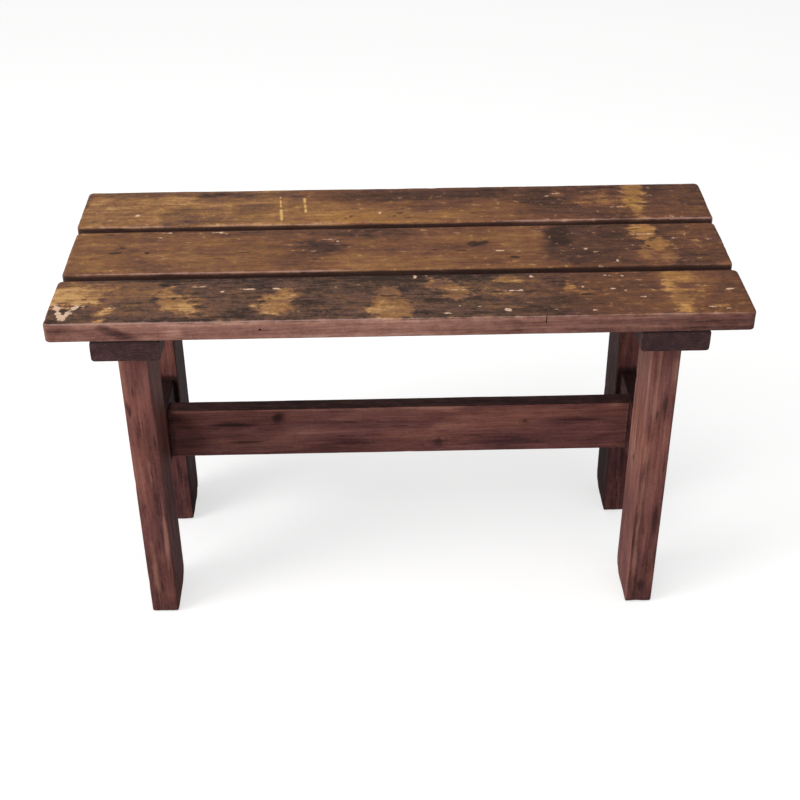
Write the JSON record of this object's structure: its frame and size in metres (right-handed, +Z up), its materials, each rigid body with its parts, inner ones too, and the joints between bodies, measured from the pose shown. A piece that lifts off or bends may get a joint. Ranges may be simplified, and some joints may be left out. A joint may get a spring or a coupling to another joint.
{
  "type": "bucket bench",
  "caption": "Small rustic wooden bench: a slatted board seat on square upright legs, with low cross rails and a long stretcher on edge between them.",
  "frame": {"origin": "on the floor, under the middle of the seat", "axes": "+X along the seat, -Y to the front, +Z up"},
  "size_m": [0.78, 0.332, 0.45],
  "materials": {
    "seat_wood": "worn brown stain over ochre",
    "frame_wood": "red-brown stain, dull",
    "cleat_wood": "dark stain, sawn end grain",
    "wedge_wood": "bare hardwood",
    "screw_steel": "dulled steel"
  },
  "bodies": {
    "root": {"seat_board_front": "seat_wood", "seat_board_middle": "seat_wood", "seat_board_rear": "seat_wood", "cleat_left": "cleat_wood", "cleat_right": "cleat_wood", "leg_front_left": "frame_wood", "leg_front_right": "frame_wood", "leg_rear_left": "frame_wood", "leg_rear_right": "frame_wood", "rail_left": "frame_wood", "rail_right": "frame_wood", "stretcher": "frame_wood", "leg_wedges": "wedge_wood", "stretcher_wedges": "wedge_wood", "seat_screws": "screw_steel"}
  },
  "joints": []
}
